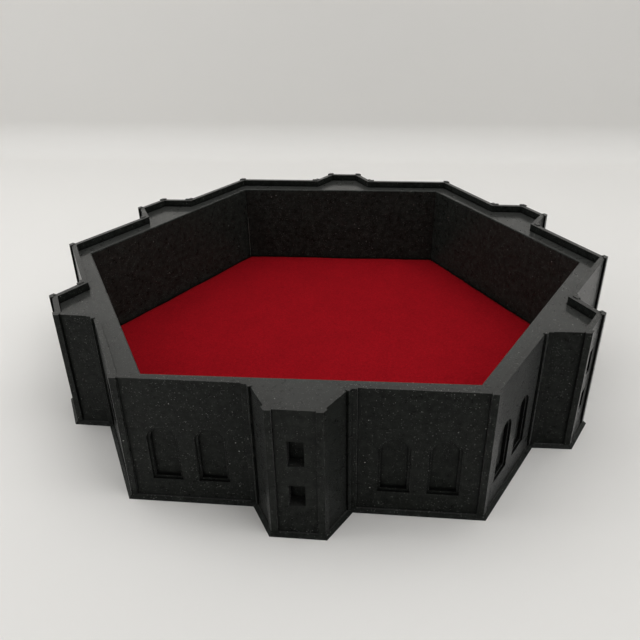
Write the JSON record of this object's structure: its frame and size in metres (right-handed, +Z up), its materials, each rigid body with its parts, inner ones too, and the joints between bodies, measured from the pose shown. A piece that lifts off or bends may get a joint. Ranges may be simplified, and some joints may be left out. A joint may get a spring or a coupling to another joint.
{
  "type": "dice tray",
  "caption": "Hexagonal castle-walled dice tray with blind arched windows, slotted bastions and a felt-lined lift-out basin that keeps rolled dice in.",
  "frame": {"origin": "centre of the castle's underside, on the table", "axes": "+Z up; two opposite walls face +Y and -Y; corners of the hexagon lie on the X axis"},
  "size_m": [0.2356, 0.2282, 0.0485],
  "materials": {
    "castle_print": "black printed filament with fine pale flecks and layer lines",
    "tray_print": "black printed filament with fine pale flecks and layer lines",
    "adhesive_film": "clear double-sided film",
    "felt": "red craft felt"
  },
  "bodies": {
    "castle": {"castle_wall_ring": "castle_print"},
    "tray": {"lift_out_tray": "tray_print", "felt_adhesive": "adhesive_film", "felt_mat": "felt"}
  },
  "joints": [
    {"name": "tray_lift", "type": "slide", "parent": "castle", "child": "tray", "axis": [0, 0, 1], "range_m": [0, 0.06]}
  ]
}
